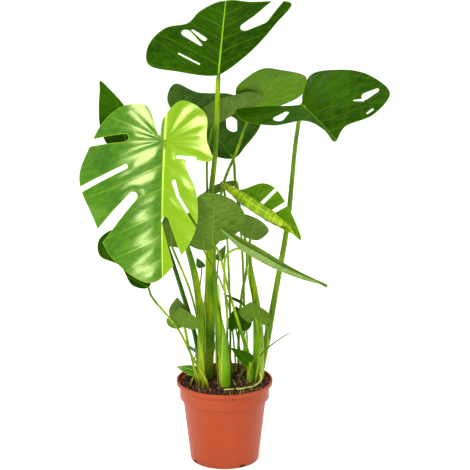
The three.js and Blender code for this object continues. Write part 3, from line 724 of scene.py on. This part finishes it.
def bladeRelief(leaf, flat, number, edge):
    away = np.abs(flat[:, 1])
    inward = np.clip(away / relief["ribFlat"], 0, 1) * np.clip(edge / relief["marginFlat"], 0, 1)
    puffed = 0.5 - 0.5 * np.cos(2 * math.pi * number)  # swollen between the side veins
    quilt = leaf.get("quilt", relief["quilt"] * leaf.get("veinGap", sideVeins["gap"])) * inward * puffed
    outward = np.clip(away / leaf["half"], 0, 1.2) ** 2
    wave = np.sin(flat[:, 0] / leaf["length"] * relief["waves"] + np.sign(flat[:, 1]) * 1.3)
    ripple = leaf.get("ripple", relief["ripple"] * leaf["half"]) * outward * wave
    past = flat[:, 0] / leaf["length"] - relief["hookFrom"]
    nearTip = np.clip(past / (1 - relief["hookFrom"]), 0, 1) ** 2
    return quilt + ripple - leaf.get("hook", 0) * nearTip


def meshPiece(name, points, faces, finishes, faceFinish=None, attributes=None):
    mesh = bpy.data.meshes.new(name)
    mesh.from_pydata([tuple(p) for p in points], [], [tuple(int(i) for i in f) for f in faces])
    for finish in finishes:
        mesh.materials.append(finish)
    if faceFinish is not None:
        mesh.polygons.foreach_set("material_index", np.asarray(faceFinish, np.int32))
    for key, values in (attributes or {}).items():
        values = np.asarray(values, np.float32)
        kind = "FLOAT_VECTOR" if values.ndim == 2 else "FLOAT"
        field = mesh.attributes.new(key, kind, "POINT")
        field.data.foreach_set("vector" if values.ndim == 2 else "value", values.ravel())
    mesh.shade_smooth()
    mesh.set_sharp_from_angle(angle=math.radians(48))
    piece = bpy.data.objects.new(name, mesh)
    scene.collection.objects.link(piece)
    return piece


def sheetFaces(rows, columns):  # two layers of one grid, closed along all four edges
    ring, layer = columns + 1, (rows + 1) * (columns + 1)
    faces = []
    for i in range(rows):
        for j in range(columns):
            a = i * ring + j
            faces.append((a, a + 1, a + ring + 1, a + ring))
            faces.append((a + layer, a + ring + layer, a + ring + 1 + layer, a + 1 + layer))
        left, right = i * ring, i * ring + columns
        faces.append((left, left + ring, left + ring + layer, left + layer))
        faces.append((right + layer, right + ring + layer, right + ring, right))
    for j in range(columns):
        low, high = j, rows * ring + j
        faces.append((low + layer, low + 1 + layer, low + 1, low))
        faces.append((high, high + 1, high + 1 + layer, high + layer))
    return faces


def settle(piece, node=None):
    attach(piece, "root")
    if node:
        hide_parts(node)


def makeBlade(name, leaf):
    flat, faces, marks = flatBlade(leaf)
    edge = distanceTo(flat, marks)
    number = veinNumber(leaf, flat)
    height = bladeRelief(leaf, flat, number, edge)
    half = blade["thickness"] / 2
    thin = np.clip(1 - flat[:, 0] / leaf["length"], 0.15, 1)
    rib = np.clip(1 - np.abs(flat[:, 1]) / blade["ribReach"], 0, 1) * blade["ribDepth"] * thin
    rib *= min(1.0, leaf["half"] / 60)
    upper = bendBlade(leaf, flat, height + half)
    under = bendBlade(leaf, flat, height - half - rib)
    count = len(flat)
    sides = [pair for a, b, c in faces for pair in ((a, b), (b, c), (c, a))]
    known = set(sides)
    rim = [(a, b) for a, b in sides if (b, a) not in known]
    allFaces = [tuple(f) for f in faces] + [tuple(f[::-1] + count) for f in faces]
    allFaces += [(b, a, a + count, b + count) for a, b in rim]
    faceFinish = [0] * len(faces) + [1] * (len(faces) + len(rim))
    points = np.vstack([upper, under])
    if "roll" in leaf:
        rollPoints, rollFaces, rollVeins = rolledPart(leaf)
        allFaces += [tuple(i + len(points) for i in f) for f in rollFaces]
        faceFinish += [2] * len(rollFaces)
        points = np.vstack([points, rollPoints])
    place = np.array(leafPlace(leaf))
    points = (points @ place[:3, :3].T + place[:3, 3]) * mm
    ribScale = max(1.0, 110 / leaf["length"])  # a small leaf has a thinner midrib
    veins = np.stack([number, flat[:, 1] * ribScale, flat[:, 0] / leaf["length"]], 1)
    veins = np.vstack([veins, veins])
    edges = np.concatenate([edge, edge])
    if "roll" in leaf:
        veins = np.vstack([veins, rollVeins])
        edges = np.concatenate([edges, np.full(len(rollVeins), 9.0)])
    dress = [leafSkins[leaf.get(side.lower(), leaf["skin"] + side)] for side in ("Upper", "Under")]
    if "roll" in leaf:
        dress.append(leafSkins["rollUpper"])
    piece = meshPiece("blade_" + name, points, allFaces, dress, faceFinish, {"veins": veins, "edge": edges})
    settle(piece, "leaf_" + name)


# The blade that is still rolled up: a sheet wound round its own axis, open at the front end
rolled = dict(turns=1.8, innerShare=0.5, sheet=0.6, around=72, alongStep=1.6, mouthAt=0.72, ridge=0.32,
              ridges=9, slant=0.7, twist=0.9)


def rolledPart(leaf):
    path = smoothPath([p[:3] for p in leaf["roll"]], rolled["alongStep"])
    total = lengthsAlong(leaf["roll"])[-1]
    rings = len(path)
    around = rolled["around"]
    points, veins = [], []
    for skin in (0, 1):
        for i, centre in enumerate(path):
            share = i / (rings - 1)
            ahead = path[min(i + 1, rings - 1)] - path[max(i - 1, 0)]
            ahead.normalize()
            sideways = ahead.cross(Vector((0, 0, 1))).normalized()
            upwards = sideways.cross(ahead)
            radius = float(widthAt(leaf["roll"], share))
            for j in range(around + 1):
                wind = j / around
                turn = 2 * math.pi * rolled["turns"] * wind + rolled["twist"] * share
                vein = share * rolled["ridges"] + rolled["slant"] * wind
                ridge = rolled["ridge"] * math.sin(2 * math.pi * vein)
                reach = radius * (rolled["innerShare"] + (1 - rolled["innerShare"]) * wind)
                reach += ridge * min(1.0, radius / 8) - skin * rolled["sheet"]
                mouth = rolled["mouthAt"] + (1 - rolled["mouthAt"]) * wind**2
                slide = min(share, mouth) - share
                spot = centre + ahead * slide * total
                spot = spot + sideways * reach * math.cos(turn) + upwards * reach * math.sin(turn)
                points.append(tuple(spot))
                veins.append((vein, 20.0, share))
    faces = [face[::-1] for face in sheetFaces(rings - 1, around)]
    return np.array(points), faces, np.array(veins)


for name, leaf in leaves.items():
    makeBlade(name, leaf)
print("blades ready")


# Stalks and roots: one node tree sweeps a ribbed round along each route

tubeSettings = dict(sides=24, thinSides=12, step=2.5, grooves=0.06, rootGrooves=0.1, ribs=5.0)
scars = dict(below=235, onThicker=4, depth=0.09, gap=17, width=1.7)  # left where older leaves came away


def newTree(name, inputs):
    tree = bpy.data.node_groups.new(name, "GeometryNodeTree")
    tree.interface.new_socket("Geometry", in_out="INPUT", socket_type="NodeSocketGeometry")
    for label, kind in inputs.items():
        tree.interface.new_socket(label, in_out="INPUT", socket_type="NodeSocket" + kind)
    tree.interface.new_socket("Geometry", in_out="OUTPUT", socket_type="NodeSocketGeometry")
    graph = Graph(tree)
    return graph, graph.add("NodeGroupInput").outputs


def closeTree(graph, geometry, skin):
    whole = graph.add("GeometryNodeRealizeInstances", {"Geometry": geometry}).outputs[0]
    dressed = graph.add("GeometryNodeSetMaterial", {"Geometry": whole, "Material": skin}).outputs[0]
    graph.add("NodeGroupOutput", {0: dressed})
    return graph.tree


def makeTubeTree():
    graph, given = newTree("sweptStalk", {
        "Sides": "Int", "Step": "Float", "Groove depth": "Float", "Skin": "Material",
    })
    route = graph.add("GeometryNodeResampleCurve", {"Curve": given["Geometry"], "Length": given["Step"]},
                      mode="LENGTH")
    hoop = graph.add("GeometryNodeCurvePrimitiveCircle", {"Resolution": given["Sides"], "Radius": 1.0})
    place = graph.add("GeometryNodeInputPosition").outputs[0]
    split = graph.add("ShaderNodeSeparateXYZ", {0: place})
    angle = graph.math("ARCTAN2", split.outputs[1], split.outputs[0])
    wave = graph.math("SINE", graph.math("MULTIPLY", angle, tubeSettings["ribs"]))
    shift = graph.scaled(place, graph.math("MULTIPLY", wave, given["Groove depth"]))
    outline = graph.add("GeometryNodeSetPosition", {"Geometry": hoop.outputs[0], "Offset": shift})
    radius = graph.add("GeometryNodeInputRadius").outputs[0]
    swept = graph.add("GeometryNodeCurveToMesh", {
        "Curve": route.outputs[0], "Profile Curve": outline.outputs[0], "Scale": radius, "Fill Caps": True,
    })
    soft = graph.add("GeometryNodeSetShadeSmooth", {"Geometry": swept.outputs[0]})
    return closeTree(graph, soft.outputs[0], given["Skin"])


tubeTree = makeTubeTree()


def applyTree(holder, tree, values, name):
    modifier = holder.modifiers.new(tree.name, "NODES")
    modifier.node_group = tree
    for item in tree.interface.items_tree:
        if item.item_type == "SOCKET" and item.in_out == "INPUT" and item.name in values:
            modifier[item.identifier] = values[item.name]
    looked = holder.evaluated_get(bpy.context.evaluated_depsgraph_get())
    mesh = bpy.data.meshes.new_from_object(looked)
    mesh.name = name
    piece = bpy.data.objects.new(name, mesh)
    scene.collection.objects.link(piece)
    holder.modifiers.remove(modifier)
    return piece


def makeTube(name, route, skin, sides=None, grooves=None, rings=False):
    path = smoothPath([p[:3] for p in route], tubeSettings["step"])
    runs = lengthsAlong(path)
    data = bpy.data.curves.new(name + "_route", "CURVE")
    data.dimensions = "3D"
    spline = data.splines.new("POLY")
    spline.points.add(len(path) - 1)
    for point, spot, thick in zip(spline.points, path, widthAt(route, runs / runs[-1])):
        point.co = (*(spot * mm), 1)
        if rings and spot.z < scars["below"] and thick > scars["onThicker"]:
            offset = (spot.z + 3 * thick) % scars["gap"] - scars["gap"] / 2
            thick += scars["depth"] * thick * math.exp(-(offset / scars["width"]) ** 2)
        point.radius = thick * mm
    holder = bpy.data.objects.new(name + "_route", data)
    scene.collection.objects.link(holder)
    values = {"Sides": sides or tubeSettings["sides"], "Step": tubeSettings["step"] * mm,
              "Groove depth": tubeSettings["grooves"] if grooves is None else grooves, "Skin": skin}
    piece = applyTree(holder, tubeTree, values, name)
    bpy.data.objects.remove(holder)
    return piece


stalkEnd = dict(inset=0.05, under=0.35, thinned=0.55)  # it runs on a little way under the blade


def stalkRoute(leaf):
    radius = leaf["stalkRadius"]
    start, under = [stalkEnd["inset"] * leaf["length"], 0.0], -stalkEnd["under"] * radius
    joint = leafPlace(leaf) @ Vector(bendBlade(leaf, np.array([start]), np.array([under]))[0])
    route = [(*joint, stalkEnd["thinned"] * radius), (*leaf["at"], radius)]
    for point in leaf["stalk"]:
        route.append(point if len(point) == 4 else (*point, route[-1][3]))
    x, y, _, radius = route[-1]
    return route + [(x, y, stalkFoot, radius)]


for name, leaf in leaves.items():
    skinName = leaf.get("stalkSkin", "lightStalk")
    stalk = makeTube("petiole_" + name, stalkRoute(leaf), stalkSkins[skinName], rings=True)
    settle(stalk, "stalk_" + name)


# Sheaths: pale-edged wings that clasp the foot of the thick stalks
sheaths = {
    "pale": dict(low=142, high=330, facing=35, wrap=150, loose=1.2, flare=3.2),
    "top": dict(low=142, high=212, facing=40, wrap=120, loose=0.8, flare=1.4),
    "inner": dict(low=142, high=348, facing=160, wrap=135, loose=0.9, flare=2.6),
    "big_left": dict(low=142, high=300, facing=50, wrap=130, loose=0.8, flare=1.8),
    "right": dict(low=142, high=250, facing=200, wrap=130, loose=0.7, flare=1.6),
    "middle": dict(low=142, high=235, facing=20, wrap=130, loose=0.7, flare=1.5),
}
sheathGrid = dict(rows=60, columns=28, sheet=0.5, step=2.0, taper=2.2, ruffle=0.18, ruffles=17)


def makeSheath(name, sheath):
    route = stalkRoute(leaves[name])[::-1]
    path = smoothPath([p[:3] for p in route], sheathGrid["step"])
    runs, levels = lengthsAlong(path), [p.z for p in path]
    rows, columns = sheathGrid["rows"], sheathGrid["columns"]
    points, veins, edges = [], [], []
    for skin in (0, 1):
        for i in range(rows + 1):
            share = i / rows
            z = sheath["low"] + (sheath["high"] - sheath["low"]) * share
            run = float(np.interp(z, levels, runs))
            radius = float(widthAt(route, run / runs[-1]))
            x = float(np.interp(z, levels, [p.x for p in path]))
            y = float(np.interp(z, levels, [p.y for p in path]))
            wrap = math.radians(sheath["wrap"]) * max(0.02, 1 - share**sheathGrid["taper"])
            for j in range(columns + 1):
                across = 2 * j / columns - 1
                angle = math.radians(sheath["facing"]) + wrap * across
                reach = radius + sheath["loose"] + sheath["flare"] * across**4 * (0.35 + share)
                reach += sheathGrid["ruffle"] * math.sin(across * sheathGrid["ruffles"])
                reach -= skin * sheathGrid["sheet"]
                points.append((x + reach * math.cos(angle), y + reach * math.sin(angle), z + 2 * across**2))
                veins.append((across * 4, 20.0, share))
                edges.append((1 - abs(across)) * wrap * radius)
    piece = meshPiece("sheath_" + name, np.array(points) * mm, sheetFaces(rows, columns),
                      [leafSkins["sheath"]], None, {"veins": veins, "edge": edges})
    settle(piece, "stalk_" + name)


for name, sheath in sheaths.items():
    makeSheath(name, sheath)


# Thin dry shoots and the roots that show on the compost

shoots = {
    "tendril": [(55, -8, stalkFoot, 1.3), (55, -8, 150, 1.3), (60, -10, 190, 1.3),
                (100, -15, 230, 1), (115, -20, 240, 0.6)],
    "dry_stalk": [(25, -10, stalkFoot, 1.1), (25, -10, 150, 1.1), (35, -15, 170, 1), (50, -20, 200, 0.8)],
}
roots = {
    "root_aerial": [(-5, -40, 142, 1.6), (30, -40, 144, 2), (55, -30, 147, 1.8), (65, -20, 155, 1.6),
                    (62, -12, 165, 1.4)],
    "root_straw": [(20, 20, 143, 1), (15, 0, 144, 1.1), (20, -20, 144, 0.9)],
}
# the thin shoots wear the darker stalk green, which is painted shade
for name, route in shoots.items():
    shoot = makeTube("thin_" + name, route, stalkSkins["deepStalk"], sides=tubeSettings["thinSides"])
    settle(shoot, name)
for name, route in roots.items():
    root = makeTube("skinned_" + name, route, rootSkin, sides=tubeSettings["thinSides"],
                    grooves=tubeSettings["rootGrooves"])
    settle(root, name)
print("stalks and roots ready")


# Pot

pot = dict(height=148, lip=85, lipHeight=7, collarHeight=32, collarStep=6, foot=60.5, body=73, wall=1.8,
           floor=8, underside=5, footRing=5, edgeRadius=1.1, sides=192, notches=4, notchWidth=10,
           notchHeight=5.5, notchDepth=14, notchTurn=32)
# painted shade: a dark disc under the pot floor stands in for the shadow inside the drain notches
notchShadeDisc = dict(low=0.2, high=4.6, lowRadius=59, highRadius=59.2, sides=96)  # seen through the notches


def roundedProfile(points, radius, steps=4):
    rounded = []
    for i, (x, z) in enumerate(points):
        here = Vector((x, z))
        if i in (0, len(points) - 1):
            rounded.append(here)
            continue
        back, ahead = Vector(points[i - 1]) - here, Vector(points[i + 1]) - here
        reach = min(radius, 0.45 * back.length, 0.45 * ahead.length)
        start, end = here + back.normalized() * reach, here + ahead.normalized() * reach
        for k in range(steps + 1):
            t = k / steps
            rounded.append(start * (1 - t)**2 + here * 2 * t * (1 - t) + end * t**2)
    return rounded


def latheMesh(profile, sides):
    points, faces, rings = [], [], []
    for radius, z in profile:
        if radius < 1e-6:
            rings.append([len(points)])
            points.append((0, 0, z * mm))
        else:
            rings.append(list(range(len(points), len(points) + sides)))
            for j in range(sides):
                angle = 2 * math.pi * j / sides
                points.append((radius * mm * math.cos(angle), radius * mm * math.sin(angle), z * mm))
    for low, high in zip(rings, rings[1:]):
        for j in range(sides):
            k = (j + 1) % sides
            if len(low) == 1:
                faces.append((low[0], high[k], high[j]))
            elif len(high) == 1:
                faces.append((low[j], low[k], high[0]))
            else:
                faces.append((low[j], low[k], high[k], high[j]))
    return points, faces


def makePot():
    crease = pot["height"] - pot["collarHeight"]
    lipFoot = pot["height"] - pot["lipHeight"]
    wall, body, collar, lip = pot["wall"], pot["body"], pot["body"] + pot["collarStep"], pot["lip"]
    foot, ring = pot["foot"], pot["foot"] - pot["footRing"]
    outside = [
        (0, pot["underside"]), (ring - 2, pot["underside"]), (ring, 0), (foot - 2, 0), (foot, 3),
        (body, crease - pot["collarStep"]), (body + 0.6, crease - 2), (collar, crease),
        (collar, lipFoot - 3), (lip, lipFoot), (lip, pot["height"]), (lip - 2 * wall, pot["height"]),
    ]
    inside = [
        (lip - 2 * wall, lipFoot), (collar - wall, lipFoot - 3), (collar - wall, crease),
        (body - wall, crease - pot["collarStep"]), (foot - wall, pot["floor"]), (0, pot["floor"]),
    ]
    profile = roundedProfile(outside + inside, pot["edgeRadius"])
    piece = meshPiece("plasticPot", *latheMesh(profile, pot["sides"]), [potPlastic])
    # painted shade: a dark peat-coloured disc fills the dish under the pot, where the notches show only
    # shadow
    low, high = notchShadeDisc["low"], notchShadeDisc["high"]
    disc = [(0, low), (notchShadeDisc["lowRadius"], low), (notchShadeDisc["highRadius"], high), (0, high)]
    shade = meshPiece("paintedShadeInDrain", *latheMesh(disc, notchShadeDisc["sides"]), [darkPeat])
    settle(shade, "compost")
    cutters = []
    for i in range(pot["notches"]):
        turn = math.radians(pot["notchTurn"] - 90 + 360 / pot["notches"] * i)
        bpy.ops.mesh.primitive_cube_add(size=1)
        cutter = bpy.context.object
        size = (pot["notchDepth"] * mm, pot["notchWidth"] * mm, 2 * pot["notchHeight"] * mm)
        place = Matrix.Rotation(turn, 4, "Z") @ Matrix.Translation((pot["foot"] * mm, 0, 0))
        cutter.data.transform(place @ Matrix.Diagonal((*size, 1)))
        cut = piece.modifiers.new("notch", "BOOLEAN")
        cut.object = cutter
        cut.operation = "DIFFERENCE"
        cutters.append(cutter)
    looked = piece.evaluated_get(bpy.context.evaluated_depsgraph_get())
    mesh = bpy.data.meshes.new_from_object(looked)
    piece.modifiers.clear()
    piece.data = mesh
    for cutter in cutters:
        bpy.data.objects.remove(cutter)
    mesh.set_sharp_from_angle(angle=math.radians(40))
    settle(piece, "pot")


makePot()
print("pot ready")


# Compost: a lumpy root ball, then crumbs and straw scattered over it

compost = dict(level=139, radius=76.5, heapX=50, heapY=26, heapHeight=9, heapSpread=38, lumps=2.1,
               rings=60, sides=160, base=100)


def soilHeight(x, y):
    fromHeap = ((x - compost["heapX"])**2 + (y - compost["heapY"])**2) / (2 * compost["heapSpread"]**2)
    lump = noise.fractal(Vector((x, y, 3)) / 14, 1.0, 2.0, 4)
    return compost["level"] + compost["heapHeight"] * math.exp(-fromHeap) + compost["lumps"] * lump


def makeCompost():
    points, faces = [], []
    rings, sides, radius = compost["rings"], compost["sides"], compost["radius"]
    points.append((0, 0, soilHeight(0, 0) * mm))
    for ring in range(1, rings + 1):
        for j in range(sides):
            angle = 2 * math.pi * j / sides
            x, y = radius * ring / rings * math.cos(angle), radius * ring / rings * math.sin(angle)
            points.append((x * mm, y * mm, soilHeight(x, y) * mm))
    wallTop = len(points) - sides
    for j in range(sides):
        x, y, _ = points[wallTop + j]
        points.append((x * 0.9, y * 0.9, compost["base"] * mm))
    points.append((0, 0, compost["base"] * mm))
    for j in range(sides):
        k = (j + 1) % sides
        faces.append((0, 1 + j, 1 + k))
        for ring in range(rings):
            a = 1 + ring * sides
            faces.append((a + j, a + sides + j, a + sides + k, a + k))
        faces.append((wallTop + sides + j, len(points) - 1, wallTop + sides + k))
    return meshPiece("peatBall", points, faces, [darkPeat])


def makeScatterTree():
    graph, given = newTree("scatteredBits", {
        "Density": "Float", "Smallest": "Float", "Largest": "Float", "Stretch": "Vector", "Seed": "Int",
        "Faces": "Int", "Skin": "Material",
    })
    normal = graph.add("GeometryNodeInputNormal").outputs[0]
    facesUp = graph.math("GREATER_THAN", graph.add("ShaderNodeSeparateXYZ", {0: normal}).outputs[2], 0.3)
    spread = graph.add("GeometryNodeDistributePointsOnFaces", {
        "Mesh": given["Geometry"], "Selection": facesUp, "Density": given["Density"], "Seed": given["Seed"],
    })
    size = graph.add("FunctionNodeRandomValue", {"Seed": given["Seed"]}, data_type="FLOAT")
    graph.feed(size.inputs[2], given["Smallest"])
    graph.feed(size.inputs[3], given["Largest"])
    turn = graph.add("FunctionNodeRandomValue", {"Seed": given["Seed"]}, data_type="FLOAT_VECTOR")
    turn.inputs[1].default_value = (6.28, 6.28, 6.28)
    bit = graph.add("GeometryNodeMeshIcoSphere", {"Radius": 1.0, "Subdivisions": given["Faces"]})
    place = graph.add("GeometryNodeInputPosition").outputs[0]
    ragged = graph.add("ShaderNodeTexNoise", {"Vector": place, "Scale": 1.6, "Detail": 2.0})
    centred = graph.math("SUBTRACT", ragged.outputs["Fac"], 0.5)
    push = graph.scaled(place, centred)
    rough = graph.add("GeometryNodeSetPosition", {"Geometry": bit.outputs[0], "Offset": push})
    placed = graph.add("GeometryNodeInstanceOnPoints", {
        "Points": spread.outputs["Points"], "Instance": rough.outputs[0],
        "Rotation": turn.outputs[0], "Scale": graph.scaled(given["Stretch"], size.outputs[1]),
    })
    return closeTree(graph, placed.outputs[0], given["Skin"])


scatters = {
    "peatCrumbs": dict(Density=150000.0, Smallest=0.0009, Largest=0.0025, Stretch=(1, 0.8, 0.7), Seed=4,
                       Faces=1, Skin=peatCrumbSkin),
    "strawBits": dict(Density=24000.0, Smallest=0.0014, Largest=0.0042, Stretch=(1.9, 0.22, 0.2), Seed=11,
                      Faces=1, Skin=strawSkin),
    "darkChunks": dict(Density=26000.0, Smallest=0.0022, Largest=0.0050, Stretch=(1, 0.8, 0.6), Seed=23,
                       Faces=2, Skin=darkPeat),
}
peatBall = makeCompost()
scatterTree = makeScatterTree()
for name, values in scatters.items():
    bits = applyTree(peatBall, scatterTree, values, name)
    settle(bits)
settle(peatBall, "compost")
print("compost ready")
